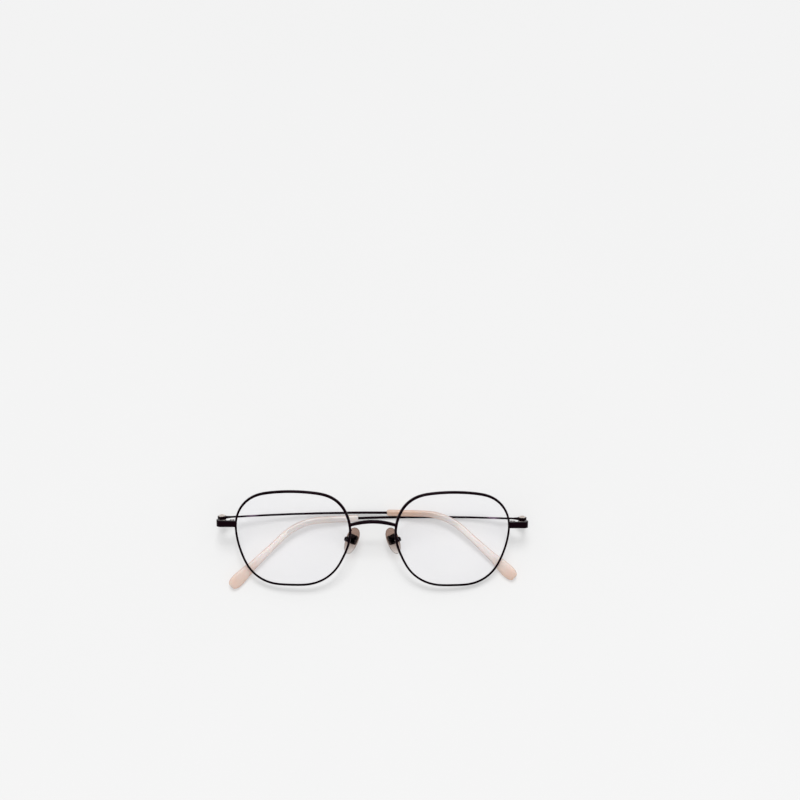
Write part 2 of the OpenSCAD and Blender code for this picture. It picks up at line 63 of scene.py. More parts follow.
# Table: a sheet of matt white card, wide enough to fill every view. It keeps the soft shadows under
# the pair and shows a faint fibre. The sheet lets part of what is below it show to the eye, because
# the open temples swing down through it.
def linear(hex_colour):
    parts = [int(hex_colour[i:i + 2], 16) / 255 for i in (1, 3, 5)]
    return (*[p / 12.92 if p <= 0.04045 else ((p + 0.055) / 1.055) ** 2.4 for p in parts], 1)


def add(tree, kind, settings, **links):
    """Adds a node to a tree: settings go to its inputs or its own properties, links to its inputs.

    An input that shares its name with others goes by its number, as 6 in settings or _6 in links.
    """
    node = tree.nodes.new(kind)
    for name, value in settings.items():
        if isinstance(name, int) or name in node.inputs:
            node.inputs[name].default_value = value
        else:
            setattr(node, name, value)
    for name, source in links.items():
        socket = int(name[1:]) if name[1:].isdigit() else name.replace("_", " ")
        tree.links.new(source, node.inputs[socket])
    return node


def new_material(name):
    material = bpy.data.materials.new(name)
    material.use_nodes = True
    material.node_tree.nodes.clear()
    return material, material.node_tree


table_reach = 3.0
table_shown_through = 0.4
card, tree = new_material("matt_card")
card_place = add(tree, "ShaderNodeTexCoord", {})
# The tone of the fibre drifts in nine clouds to the metre.
card_fibre = add(tree, "ShaderNodeTexNoise", {"Scale": 9, "Detail": 3}, Vector=card_place.outputs["Object"])
card_tone = add(tree, "ShaderNodeMix", {"data_type": "RGBA", 6: linear("#f4f4f4"), 7: linear("#f7f7f7")},
                Factor=card_fibre.outputs["Fac"])
card_surface = add(tree, "ShaderNodeBsdfDiffuse", {"Roughness": 0.4}, Color=card_tone.outputs[2])
card_rays = add(tree, "ShaderNodeLightPath", {})
card_shown = add(tree, "ShaderNodeMath", {"operation": "MAXIMUM"}, _0=card_rays.outputs["Is Camera Ray"],
                 _1=card_rays.outputs["Is Transmission Ray"])
card_through = add(tree, "ShaderNodeMath", {"operation": "MULTIPLY", 1: table_shown_through},
                   _0=card_shown.outputs[0])
card_clear = add(tree, "ShaderNodeBsdfTransparent", {})
card_sheet = add(tree, "ShaderNodeMixShader", {}, Fac=card_through.outputs[0],
                 _1=card_surface.outputs[0], _2=card_clear.outputs[0])
add(tree, "ShaderNodeOutputMaterial", {}, Surface=card_sheet.outputs[0])
table_corners = [(-table_reach, -table_reach, 0), (table_reach, -table_reach, 0),
                 (table_reach, table_reach, 0), (-table_reach, table_reach, 0)]
table_mesh = bpy.data.meshes.new("table")
table_mesh.from_pydata(table_corners, [], [(0, 1, 2, 3)])
table_mesh.materials.append(card)
table = bpy.data.objects.new("table", table_mesh)
scene.collection.objects.link(table)

# Studio light: a wide softbox behind the top of the rims and a white tent all round.
# A small bare lamp beside the softbox gives the metal its sparkle and hardly any shadow.
for lamp_name, energy, spread, direction in (
        ("softbox", 1.3, 24, (0.03, -0.5, -0.866)),
        ("bare_lamp", 0.2, 2.6, (-0.05, -0.42, -0.906))):
    lamp_data = bpy.data.lights.new(lamp_name, "SUN")
    lamp_data.energy = energy
    lamp_data.angle = math.radians(spread)
    lamp = bpy.data.objects.new(lamp_name, lamp_data)
    lamp.rotation_euler = Vector(direction).to_track_quat("-Z", "Y").to_euler()
    scene.collection.objects.link(lamp)
# The tent is seen brighter than it lights, so that it stays pale behind the pair and in the metal.
tent_lights = 0.59
tent_shows = 0.91
tent = bpy.data.worlds.new("tent")
tent.use_nodes = True
tree = tent.node_tree
tree.nodes.clear()
tent_rays = add(tree, "ShaderNodeLightPath", {})
tent_seen = add(tree, "ShaderNodeMath", {"operation": "MAXIMUM"}, _0=tent_rays.outputs["Is Camera Ray"],
                _1=tent_rays.outputs["Is Glossy Ray"])
tent_through = add(tree, "ShaderNodeMath", {"operation": "MAXIMUM"}, _0=tent_seen.outputs[0],
                   _1=tent_rays.outputs["Is Transmission Ray"])
tent_strength = add(tree, "ShaderNodeMapRange", {"To Min": tent_lights, "To Max": tent_shows},
                    Value=tent_through.outputs[0])
tent_light = add(tree, "ShaderNodeBackground", {"Color": (1, 1, 1, 1)}, Strength=tent_strength.outputs[0])
add(tree, "ShaderNodeOutputWorld", {}, Surface=tent_light.outputs[0])
scene.world = tent


# Rims: nickel silver wire, rolled with a groove for the lens, bent to the lens shape and closed
# by a small lock. They are dipped in plum enamel and baked, as all the thin metal parts are.
mm = 0.001
sides = (("left", -1), ("right", 1))
# The pair lies face up, tilted on its lower rims and its folded tips, and front is that place.
pair_pitch = math.radians(22.6195)
pair_roll = math.radians(0.8797)
front = (Matrix.Translation((0, 0.4317 * mm, 14.0827 * mm)) @ Matrix.Rotation(pair_pitch, 4, "X")
         @ Matrix.Rotation(pair_roll, 4, "Y"))
lens_spacing = 70.0
base_curve_radius = 111.0
wrap_angle = math.radians(4.2)
rim_width = 1.05
rim_depth = 1.8
rim_slit = 0.15
end_piece_level = 5.4
edge_stations = 260
corner_blend = 2.4
corner_steps = 24
lens_mean_radius = 23.0
# The lens edge is a polygon with a large radius at each corner: x, y and radius, in millimetres.
lens_corners = ((26, 16.8, 14.5), (24.3, -3, 39), (16.6, -21.5, 16.5), (-16, -21.5, 18.5),
                (-26.9, 2, 20.3), (-20.3, 18.3, 14), (0.3, 21.5, 73))


def keep(name, mesh, material, body):
    """Finishes a piece's mesh, facing out and smooth between creases, and lets it ride with its body."""
    bmesh.ops.recalc_face_normals(mesh, faces=mesh.faces)
    data = bpy.data.meshes.new(name)
    mesh.to_mesh(data)
    mesh.free()
    data.shade_smooth()
    data.set_sharp_from_angle(angle=math.radians(40))
    data.materials.append(material)
    piece = bpy.data.objects.new(name, data)
    scene.collection.objects.link(piece)
    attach(piece, body)
    return piece


def skin(mesh, rings):
    """Joins rings of points into a closed skin with a fan over each end."""
    rows = [[mesh.verts.new(p) for p in ring] for ring in rings]
    count = len(rows[0])
    for low, high in zip(rows, rows[1:]):
        for i in range(count):
            j = (i + 1) % count
            mesh.faces.new((low[i], low[j], high[j], high[i]))
    for row in (rows[0], rows[-1]):
        middle = mesh.verts.new(sum((v.co for v in row), Vector()) / count)
        for i in range(count):
            mesh.faces.new((row[i], row[(i + 1) % count], middle))


def lens_edge():
    """Stations round the lens edge as (place, way out), opened at the slit beside the end piece.

    The sides run into the corners over about corner_blend, as in wire bent on a former.
    """
    count, blend = edge_stations, corner_blend
    outline = []
    for i, (x, y, radius) in enumerate(lens_corners):
        corner = Vector((x, y))
        before = (Vector(lens_corners[i - 1][:2]) - corner).normalized()
        after = (Vector(lens_corners[(i + 1) % len(lens_corners)][:2]) - corner).normalized()
        half = before.angle(after) / 2
        centre = corner + (before + after).normalized() * radius / math.sin(half)
        start = corner + before * radius / math.tan(half) - centre
        end = corner + after * radius / math.tan(half) - centre
        first = math.atan2(start.y, start.x)
        sweep = (math.atan2(end.y, end.x) - first + math.pi) % (2 * math.pi) - math.pi
        for k in range(corner_steps + 1):
            a = first + sweep * k / corner_steps
            outline.append(centre + Vector((math.cos(a), math.sin(a))) * radius)
    outline.append(outline[0])
    along = [0.0]
    for p, q in zip(outline, outline[1:]):
        along.append(along[-1] + (q - p).length)
    even, i = [], 0
    for k in range(count):
        reach = along[-1] * k / count
        while along[i + 1] < reach:
            i += 1
        even.append(outline[i].lerp(outline[i + 1], (reach - along[i]) / (along[i + 1] - along[i])))
    spacing = along[-1] / count
    width = int(3 * blend / spacing)
    weights = [math.exp(-(j * spacing / blend) ** 2 / 2) for j in range(-width, width + 1)]
    smooth = []
    for k in range(count):
        near = [even[(k + j) % count] * w for j, w in zip(range(-width, width + 1), weights)]
        smooth.append(sum(near, Vector((0, 0))) / sum(weights))
    stations = []
    for k, p in enumerate(smooth):
        along_edge = (smooth[(k + 1) % count] - smooth[k - 1]).normalized()
        out = Vector((-along_edge.y, along_edge.x))
        # Blending pulls the edge in by half its square over the mean radius of the lens, put back here.
        stations.append((p + out * blend ** 2 / (2 * lens_mean_radius), out))
    low, high = end_piece_level - rim_slit / 2, end_piece_level + rim_slit / 2
    cut = next(i for i, (p, out) in enumerate(stations)
               if p.x > 0 and p.y >= high and stations[(i + 1) % count][0].y < high)
    stations = stations[cut + 1:] + stations[:cut + 1]
    while stations[0][0].y >= low:
        stations.pop(0)
    ends = []
    for level in (low, high):
        (p, out), (q, turned) = stations[-1], stations[0]
        share = (level - p.y) / (q.y - p.y)
        ends.append((p.lerp(q, share), out.lerp(turned, share).normalized()))
    return [ends[0]] + stations + [ends[1]]


def on_base_curve(plan_to_world, place, forward):
    """Lays a point of the flat lens plan on the base curve, turns it by the wrap and sets it in the pair."""
    sag = base_curve_radius - math.sqrt(base_curve_radius ** 2 - place.length_squared)
    turned = Matrix.Rotation(wrap_angle, 3, "Y") @ Vector((place.x, place.y, forward - sag))
    return plan_to_world @ ((turned + Vector((lens_spacing / 2, 0, 0))) * mm)


# The wire's section as (out, forward) in shares of its width and depth: a groove inside, round outside.
rim_wire = [(-0.43, -0.42), (-0.43, -0.24), (-0.12, 0), (-0.43, 0.24), (-0.43, 0.42), (-0.36, 0.485)]
for k in range(13):
    a = math.radians(90 - 15 * k)
    rim_wire.append((-0.2 + 0.65 * max(math.cos(a), 0) ** 0.75,
                     math.copysign(0.5 * abs(math.sin(a)) ** 0.8, math.sin(a))))
rim_wire.append((-0.36, -0.485))


def dress(names, material, crease, edge=0):
    """Gives CAD nodes their finish, shades them smooth up to a crease and rounds their edges."""
    for name in names:
        node = nodes[name]
        node.data.materials.clear()
        node.data.materials.append(material)
        if "custom_normal" in node.data.attributes:
            node.data.attributes.remove(node.data.attributes["custom_normal"])
        node.data.shade_smooth()
        node.modifiers.new("weld", "WELD").merge_threshold = 0.001 * mm
        if edge:
            rounding = node.modifiers.new("rounded_edges", "BEVEL")
            rounding.width = edge
            rounding.segments = 2
            rounding.limit_method = "ANGLE"
            rounding.angle_limit = math.radians(crease)
        split = node.modifiers.new("creases", "EDGE_SPLIT")
        split.split_angle = math.radians(crease)
        split.use_edge_sharp = False


def enamel_tones(tree, place):
    """Adds the colour and the gloss of baked enamel, which drift in clouds of about 4 mm."""
    drift = add(tree, "ShaderNodeTexNoise", {"Scale": 1 / (4 * mm), "Detail": 2},
                Vector=place.outputs["Object"])
    colour = add(tree, "ShaderNodeMix", {"data_type": "RGBA", 6: linear("#060103"), 7: linear("#100408")},
                 Factor=drift.outputs["Fac"])
    gloss = add(tree, "ShaderNodeMapRange", {"To Min": 0.16, "To Max": 0.24}, Value=drift.outputs["Fac"])
    return colour, gloss


# Baked plum enamel is almost black, with a soft gloss, a faint orange peel and a lilac glint.
# The peel is about 0.1 mm across on the real wire and is drawn at 0.3 mm so that it shows.
enamel_glint = linear("#d9a9c4")
plum_enamel, tree = new_material("plum_enamel")
enamel_place = add(tree, "ShaderNodeTexCoord", {})
enamel_colour, enamel_gloss = enamel_tones(tree, enamel_place)
enamel_peel = add(tree, "ShaderNodeTexNoise", {"Scale": 1 / (0.3 * mm), "Detail": 1},
                  Vector=enamel_place.outputs["Object"])
enamel_relief = add(tree, "ShaderNodeBump", {"Strength": 0.35, "Distance": 0.006 * mm},
                    Height=enamel_peel.outputs["Fac"])
enamel_surface = add(tree, "ShaderNodeBsdfPrincipled",
                     {"IOR": 1.5, "Specular IOR Level": 0.07, "Specular Tint": enamel_glint},
                     Base_Color=enamel_colour.outputs[2], Roughness=enamel_gloss.outputs[0],
                     Normal=enamel_relief.outputs[0])
add(tree, "ShaderNodeOutputMaterial", {}, Surface=enamel_surface.outputs[0])
for side, sign in sides:
    plan_to_world = front @ Matrix.Diagonal((sign, 1, 1, 1))
    rings = [[on_base_curve(plan_to_world, place + out * across * rim_width, forward * rim_depth)
              for across, forward in rim_wire] for place, out in lens_edge()]
    wire = bmesh.new()
    skin(wire, rings)
    rim_piece = keep(f"rim_{side}_wire", wire, plum_enamel, "front")
    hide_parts(f"rim_{side}")

# Lenses: clear resin blanks cut to the rim's groove, with polished faces and a V bevel. A coating
# leaves only a weak violet reflection, and the blanks cast a thin shade on the card. Their mesh is
# dense, because a mirroring face shows every facet.
coating_leaves = 0.17
bevel_cosine = 0.75
clear_resin, tree = new_material("clear_resin")
resin_place = add(tree, "ShaderNodeTexCoord", {})
resin_film = add(tree, "ShaderNodeTexNoise", {"Scale": 1 / (9 * mm), "Detail": 1},
                 Vector=resin_place.outputs["Object"])
resin_colour = add(tree, "ShaderNodeMix", {"data_type": "RGBA", 6: linear("#fefeff"), 7: linear("#ffffff")},
                   Factor=resin_film.outputs["Fac"])
resin_body = add(tree, "ShaderNodeBsdfRefraction", {"IOR": 1.5}, Color=resin_colour.outputs[2])
resin_gloss = add(tree, "ShaderNodeBsdfGlossy", {"Color": linear("#d6cbe2"), "Roughness": 0.02})
resin_mirror = add(tree, "ShaderNodeFresnel", {"IOR": 1.5})
resin_film_loss = add(tree, "ShaderNodeMath", {"operation": "MULTIPLY", 1: coating_leaves},
                      _0=resin_mirror.outputs[0])
resin_coated = add(tree, "ShaderNodeMixShader", {}, Fac=resin_film_loss.outputs[0],
                   _1=resin_body.outputs[0], _2=resin_gloss.outputs[0])
# The bevel leans more than 41 degrees and is ground matt; its dark is painted, standing in for the dark
# groove seen through it.
resin_face = add(tree, "ShaderNodeNewGeometry", {})
resin_turn = add(tree, "ShaderNodeVectorMath",
                 {"operation": "DOT_PRODUCT", 1: (0, -math.sin(pair_pitch), math.cos(pair_pitch))},
                 _0=resin_face.outputs["True Normal"])
resin_side = add(tree, "ShaderNodeMath", {"operation": "ABSOLUTE"}, _0=resin_turn.outputs["Value"])
resin_ground = add(tree, "ShaderNodeMath", {"operation": "LESS_THAN", 1: bevel_cosine},
                   _0=resin_side.outputs[0])
resin_bevel_painted_dark = add(tree, "ShaderNodeBsdfDiffuse", {"Color": linear("#1d161c")})
resin_blank = add(tree, "ShaderNodeMixShader", {}, Fac=resin_ground.outputs[0],
                  _1=resin_coated.outputs[0], _2=resin_bevel_painted_dark.outputs[0])
resin_shade = add(tree, "ShaderNodeBsdfTransparent", {"Color": (0.982, 0.979, 0.982, 1)})
resin_rays = add(tree, "ShaderNodeLightPath", {})
resin_lit = add(tree, "ShaderNodeMath", {"operation": "MAXIMUM"}, _0=resin_rays.outputs["Is Shadow Ray"],
                _1=resin_rays.outputs["Is Diffuse Ray"])
resin_surface = add(tree, "ShaderNodeMixShader", {}, Fac=resin_lit.outputs[0],
                    _1=resin_blank.outputs[0], _2=resin_shade.outputs[0])
add(tree, "ShaderNodeOutputMaterial", {}, Surface=resin_surface.outputs[0])
lens_inset = 0.56
lens_bevel = 0.175
lens_half = 0.8
# Each ring is its place from the edge, its height and its share of the way out from the middle:
# out over the front face, round the bevel and back in behind.
lens_rings = [(-lens_inset, lens_half, 0.04 + 0.08 * k) for k in range(13)]
lens_rings += [(-lens_bevel, 0, 1)] + [(inset, -height, share)
                                       for inset, height, share in reversed(lens_rings)]
for side, sign in sides:
    plan_to_world = front @ Matrix.Diagonal((sign, 1, 1, 1))
    rings = [[on_base_curve(plan_to_world, (place + out * inset) * share, height)
              for place, out in lens_edge()] for inset, height, share in lens_rings]
    blank = bmesh.new()
    skin(blank, rings)
    lens_piece = keep(f"lens_{side}_blank", blank, clear_resin, "front")
    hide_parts(f"lens_{side}")

# Bridge: one arched bar of the same metal, laid between the rims and silver soldered.
# Each joint keeps a small smooth fillet of solder, and the enamel lies thick on the bar.
def fillet(place, run, across, depth):
    """Rings of a solder fillet that starts wide on the rim and thins out along the bar.

    place is its foot in the front's frame, run the way and the length that it covers, and across
    and depth its half sizes as (at the rim, on the bar).
    """
    steps, around = 8, 20
    way = run.normalized()
    back = Vector((0, 0, 1))
    up = back.cross(way).normalized()
    back = way.cross(up)
    rings = []
    for step in range(steps + 1):
        share = step / steps
        swell = (1 - share) ** 2.2
        half_up = across[1] + (across[0] - across[1]) * swell
        half_back = depth[1] + (depth[0] - depth[1]) * swell
        rings.append([place + run * share + up * half_up * math.cos(a) + back * half_back * math.sin(a)
                      for a in (2 * math.pi * k / around for k in range(around))])
    return [[front @ (p * mm) for p in ring] for ring in rings]


def solder(joint, foot, run, across, depth, material):
    """Lays the same fillet on both sides of the front, enamelled or plated with the rest."""
    for side, sign in sides:
        mirror = Vector((sign, 1, 1))
        mesh = bmesh.new()
        skin(mesh, fillet(foot * mirror, run * mirror, across, depth))
        keep(f"{joint}_solder_{side}", mesh, material, "front")


def coat(name, thickness):
    """Draws a CAD node thicker all round by its coats of enamel, laid on before its creases are split."""
    coats = nodes[name].modifiers.new("coats_of_enamel", "DISPLACE")
    coats.strength = thickness
    coats.mid_level = 0
    nodes[name].modifiers.move(2, 1)


dress(["bridge"], plum_enamel, crease=70)
coat("bridge", thickness=0.11 * mm)
solder("bridge", foot=Vector((9.75, 5.85, -1.15)), run=Vector((-1.35, 0.42, 0.1)),
       across=(0.92, 0.56), depth=(0.9, 0.8), material=plum_enamel)

# End pieces: a flat bar soldered over the side of each rim, bent back and thinned to a hinge lug.
# Behind it sit the two halves of the rim lock, which a small screw draws together round the lens.
dress(["end_piece_left", "end_piece_right"], plum_enamel, crease=30, edge=0.12 * mm)
dress(["rim_lock_left", "rim_lock_right"], plum_enamel, crease=30, edge=0.1 * mm)
solder("end_piece", foot=Vector((59.45, end_piece_level, -3.75)), run=Vector((1.0, 0, -0.15)),
       across=(1.7, 1.2), depth=(0.62, 0.3), material=plum_enamel)

# Screws and washers: stainless steel, turned on a lathe, with a slot or a washer face.
# Turning leaves fine lines that catch the light, drawn 0.75 mm apart so that they show.
line_spacing = 0.754 * mm
turned_steel, tree = new_material("turned_steel")
steel_place = add(tree, "ShaderNodeTexCoord", {})
# At scale 1 Blender's wave repeats after a tenth of pi.
steel_lines = add(tree, "ShaderNodeTexWave", {"wave_type": "RINGS", "rings_direction": "SPHERICAL",
                                              "Scale": math.pi / 10 / line_spacing, "Distortion": 1.5},
                  Vector=steel_place.outputs["Object"])
steel_gloss = add(tree, "ShaderNodeMapRange", {"To Min": 0.16, "To Max": 0.34},
                  Value=steel_lines.outputs["Fac"])
steel_stain = add(tree, "ShaderNodeTexNoise", {"Scale": 1 / (0.8 * mm), "Detail": 3},
                  Vector=steel_place.outputs["Object"])
steel_colour = add(tree, "ShaderNodeMix", {"data_type": "RGBA", 6: linear("#c3b6ac"), 7: linear("#ddd6d0")},
                   Factor=steel_stain.outputs["Fac"])
steel_surface = add(tree, "ShaderNodeBsdfPrincipled", {"Metallic": 1},
                    Base_Color=steel_colour.outputs[2], Roughness=steel_gloss.outputs[0])
add(tree, "ShaderNodeOutputMaterial", {}, Surface=steel_surface.outputs[0])
dress(["hinge_screw_left", "hinge_screw_right"], turned_steel, crease=30, edge=0.06 * mm)
dress(["hinge_washer_left", "hinge_washer_right", "rim_lock_screw_left", "rim_lock_screw_right",
       "pad_screw_left", "pad_screw_right"], turned_steel, crease=30)

# Pad arms: a short bent wire from the back of each rim to the open box that holds the pad.
# The wire is soldered to the rim and the box to the wire, and both are plated in black nickel,
# which is dark and bright at once. Its fine stamped grain is drawn at 0.4 mm so that it shows.
black_nickel, tree = new_material("black_nickel")
nickel_place = add(tree, "ShaderNodeTexCoord", {})
nickel_grain = add(tree, "ShaderNodeTexNoise", {"Scale": 1 / (0.4 * mm), "Detail": 4},
                   Vector=nickel_place.outputs["Object"])
nickel_colour = add(tree, "ShaderNodeMix", {"data_type": "RGBA", 6: linear("#110c0d"), 7: linear("#1c1517")},
                    Factor=nickel_grain.outputs["Fac"])
nickel_gloss = add(tree, "ShaderNodeMapRange", {"To Min": 0.07, "To Max": 0.2},
                   Value=nickel_grain.outputs["Fac"])
nickel_surface = add(tree, "ShaderNodeBsdfPrincipled", {"Metallic": 1},
                     Base_Color=nickel_colour.outputs[2], Roughness=nickel_gloss.outputs[0])
add(tree, "ShaderNodeOutputMaterial", {}, Surface=nickel_surface.outputs[0])
pad_fit = (Matrix.Translation((11.1, -2.4, -7.4)) @ Matrix.Rotation(math.radians(-13), 4, "X")
           @ Matrix.Rotation(math.radians(20), 4, "Z") @ Matrix.Rotation(math.radians(50), 4, "Y"))
arm_route = [Vector(p) for p in ((9.71, 2.8, -1.9), (9.8, 2.35, -3.5), (9.95, 1.05, -5.2),
                                 (10.2, -0.55, -6.3), (10.65, -1.5, -6.85), (11.35, -1.95, -6.95))]
arm_radius = 0.48
box_half = (1.38, 1.15)
box_low = -0.7
box_high = 1.4
box_crown = 2.6
slot_half = 0.8
slot_high = 0.9
sliver = 0.005


def bend(route, radius):
    """Rings of a round wire bent smoothly through the points of a route."""
    steps, around = 8, 20
    ends = [route[0] * 2 - route[1]] + route + [route[-1] * 2 - route[-2]]
    line = []
    for a, b, c, d in zip(ends, ends[1:], ends[2:], ends[3:]):
        for k in range(steps):
            t = k / steps
            line.append((b * 2 + (c - a) * t + (a * 2 - b * 5 + c * 4 - d) * t ** 2
                         + (b * 3 - a - c * 3 + d) * t ** 3) / 2)
    line.append(route[-1])
    rings, up = [], Vector((0, 1, 0))
    for i, p in enumerate(line):
        way = (line[min(i + 1, len(line) - 1)] - line[max(i - 1, 0)]).normalized()
        beside = way.cross(up).normalized()
        up = beside.cross(way)
        rings.append([p + (beside * math.cos(a) + up * math.sin(a)) * radius
                      for a in (2 * math.pi * k / around for k in range(around))])
    return rings


def bulge(value, power):
    """Raises a sine or cosine to a power and keeps its sign: below 1, a circle bulges into its corners."""
    return math.copysign(abs(value) ** power, value)


def rounded_box(half, layers, power):
    """Rings of a box with round corners; each layer is its level and its share of the full size."""
    around = 40
    angles = [2 * math.pi * k / around for k in range(around)]
    return [[Vector((bulge(math.cos(a), power) * half[0] * share, bulge(math.sin(a), power) * half[1] * share,
                     level)) for a in angles] for level, share in layers]


def carve(solid, tool):
    """Cuts one closed mesh out of another and gives back what is left, without its slivers."""
    cutting = []
    for mesh in (solid, tool):
        bmesh.ops.recalc_face_normals(mesh, faces=mesh.faces)
        data = bpy.data.meshes.new("cutting")
        mesh.to_mesh(data)
        mesh.free()
        cutting.append(bpy.data.objects.new("cutting", data))
        scene.collection.objects.link(cutting[-1])
    cut = cutting[0].modifiers.new("cut", "BOOLEAN")
    cut.operation = "DIFFERENCE"
    cut.solver = "EXACT"
    cut.object = cutting[1]
    left = bmesh.new()
    left.from_object(cutting[0], bpy.context.evaluated_depsgraph_get())
    bmesh.ops.triangulate(left, faces=left.faces)
    bmesh.ops.dissolve_degenerate(left, edges=left.edges, dist=sliver)
    for part in cutting:
        bpy.data.objects.remove(part)
    return left


box_layers = [(box_low, 0.94), (box_low + 0.08, 1)]
box_layers += [(box_high * k / 12, (1 - (k / 12) ** box_crown) ** (1 / box_crown)) for k in range(12)]
box_layers += [(box_high, 0.3)]
slot_layers = [(box_low - 1, 1), (slot_high - 0.1, 1), (slot_high, 0.9)]
for side, sign in sides:
    to_world = front @ Matrix.Diagonal((sign, 1, 1, 1)) @ Matrix.Scale(mm, 4)
    box = bmesh.new()
    skin(box, rounded_box(box_half, box_layers, power=0.6))
    slot = bmesh.new()
    skin(slot, rounded_box((slot_half, 2), slot_layers, power=0.6))
    arm = carve(box, slot)
    bmesh.ops.transform(arm, matrix=pad_fit, verts=arm.verts)
    skin(arm, bend(arm_route, arm_radius))
    bmesh.ops.transform(arm, matrix=to_world, verts=arm.verts)
    arm_piece = keep(f"pad_arm_{side}_wire", arm, black_nickel, "front")
    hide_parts(f"pad_arm_{side}")
solder("pad_arm", foot=Vector((9.75, 2.95, -1.55)), run=Vector((0.06, -0.3, -1.3)),
       across=(0.5, 0.46), depth=(1.15, 0.46), material=black_nickel)

# Pad inserts: a plated plate moulded into each pad, with a tongue that turns on the pad screw.
# The plate reaches across the pad's back and shows through the clear silicone as a dark band.
plate_half = (3.05, 2.15)
plate_middle = Vector((-0.78, 0.75, 0))
plate_layers = ((-1.44, 0.93), (-1.5, 1), (-2.5, 1), (-2.6, 0.94))
tongue_half = 0.75
tongue_radius = 0.85
tongue_root = 1.6
tongue_bore = 0.39
tongue_points = 32
for side, sign in sides:
    pad_place = front @ Matrix.Diagonal((sign, 1, 1, 1)) @ Matrix.Scale(mm, 4) @ pad_fit
    plate_rings = [[pad_place @ (p + plate_middle) for p in ring]
                   for ring in rounded_box(plate_half, plate_layers, power=0.4)]
    insert = bmesh.new()
    skin(insert, plate_rings)
    # The tongue is a tab with a round end and a hole for the pad screw.
    faces_across = []
    for across in (-tongue_half, tongue_half):
        edge_row, bore_row = [], []
        for k in range(tongue_points):
            a = 2 * math.pi * k / tongue_points
            along, up = math.cos(a), math.sin(a)
            square = max(abs(along), abs(up) * tongue_radius / tongue_root)
            reach = tongue_radius if up >= 0 else tongue_radius / square
            for row, away in ((edge_row, reach), (bore_row, tongue_bore)):
                row.append(insert.verts.new(pad_place @ Vector((across, along * away, up * away))))
        faces_across.append((edge_row, bore_row))
    for k in range(tongue_points):
        j = (k + 1) % tongue_points
        for edge_row, bore_row in faces_across:
            insert.faces.new((edge_row[k], edge_row[j], bore_row[j], bore_row[k]))
        for row in (0, 1):
            near, far = faces_across[0][row], faces_across[1][row]
            insert.faces.new((near[k], near[j], far[j], far[k]))
    insert_piece = keep(f"pad_insert_{side}_plate", insert, black_nickel, f"nose_pad_{side}")
    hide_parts(f"pad_insert_{side}")

# Nose pads: soft silicone moulded round the insert, domed towards the nose.
# Smoky silicone shows the dark plate and is browner round its edge. Towards the bridge it is painted browner
# too, as painted shade from the wires and tips behind it.
pad_length = 11.9
pad_width = 7.5
pad_middle = -0.4
pad_thickness = 2.0
pad_seat = 1.5
pad_egg = 0.12
pad_points = 48
# Each step of the dome is its share of the thickness and its share of the full outline.
pad_round = [(0, 0.86), (0.05, 0.92), (0.14, 0.955), (0.28, 0.98), (0.45, 1), (0.6, 0.985), (0.72, 0.94),
             (0.82, 0.87), (0.9, 0.765), (0.955, 0.62), (0.985, 0.45), (1, 0.25)]
smoky_silicone, tree = new_material("smoky_silicone")
silicone_place = add(tree, "ShaderNodeTexCoord", {})
silicone_cloud = add(tree, "ShaderNodeTexNoise", {"Scale": 1 / (2.5 * mm), "Detail": 2},
                     Vector=silicone_place.outputs["Object"])
silicone_axes = add(tree, "ShaderNodeSeparateXYZ", {}, Vector=silicone_place.outputs["Object"])
silicone_haze = add(tree, "ShaderNodeMapRange", {"To Min": -0.9 * mm, "To Max": 0.9 * mm},
                    Value=silicone_cloud.outputs["Fac"])
silicone_level = add(tree, "ShaderNodeMath", {"operation": "ADD"}, _0=silicone_axes.outputs["Y"],
                     _1=silicone_haze.outputs[0])
# Painted shade: the silicone's colour turns browner upwards, towards the bridge.
silicone_painted_shade = add(tree, "ShaderNodeMapRange", {"From Min": -4 * mm, "From Max": 1.5 * mm},
                     Value=silicone_level.outputs[0])
silicone_painted_tint = add(tree, "ShaderNodeMix", {"data_type": "RGBA", 6: linear("#fdf9f7"), 7: linear("#d0bfb6")},
                    Factor=silicone_painted_shade.outputs[0])
silicone_edge = add(tree, "ShaderNodeLayerWeight", {"Blend": 0.5})
silicone_rim = add(tree, "ShaderNodeMapRange", {"From Min": 0.5, "From Max": 0.85, "To Max": 0.9},
                   Value=silicone_edge.outputs["Facing"])
silicone_colour = add(tree, "ShaderNodeMix", {"data_type": "RGBA", 7: linear("#4a3026")},
                      Factor=silicone_rim.outputs[0], _6=silicone_painted_tint.outputs[2])
silicone_clear = add(tree, "ShaderNodeBsdfTransparent", {}, Color=silicone_colour.outputs[2])
silicone_skin = add(tree, "ShaderNodeTexNoise", {"Scale": 1 / (0.25 * mm), "Detail": 2},
                    Vector=silicone_place.outputs["Object"])
silicone_relief = add(tree, "ShaderNodeBump", {"Strength": 0.25, "Distance": 0.01 * mm},
                      Height=silicone_skin.outputs["Fac"])
silicone_milk = add(tree, "ShaderNodeBsdfPrincipled",
                    {"Base Color": linear("#a8988f"), "Roughness": 0.3, "IOR": 1.41},
                    Normal=silicone_relief.outputs[0])
# Nine parts in a hundred are milk, and the rest is clear smoke.
silicone_surface = add(tree, "ShaderNodeMixShader", {0: 0.09}, _1=silicone_clear.outputs[0],
                       _2=silicone_milk.outputs[0])
add(tree, "ShaderNodeOutputMaterial", {}, Surface=silicone_surface.outputs[0])
for side, sign in sides:
    pad_place = front @ Matrix.Diagonal((sign, 1, 1, 1)) @ Matrix.Scale(mm, 4) @ pad_fit
    rings = []
    for depth, share in pad_round:
        ring = []
        for k in range(pad_points):
            a = 2 * math.pi * k / pad_points
            across = pad_width / 2 * share * bulge(math.cos(a), 0.85) * (1 + pad_egg * math.sin(a))
            along = pad_length / 2 * share * bulge(math.sin(a), 0.9)
            ring.append(pad_place @ Vector((pad_middle + across, along, -pad_seat - pad_thickness * depth)))
        rings.append(ring)
    pad = bmesh.new()
    skin(pad, rings)
    pad_piece = keep(f"nose_pad_{side}_silicone", pad, smoky_silicone, f"nose_pad_{side}")
    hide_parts(f"nose_pad_{side}")
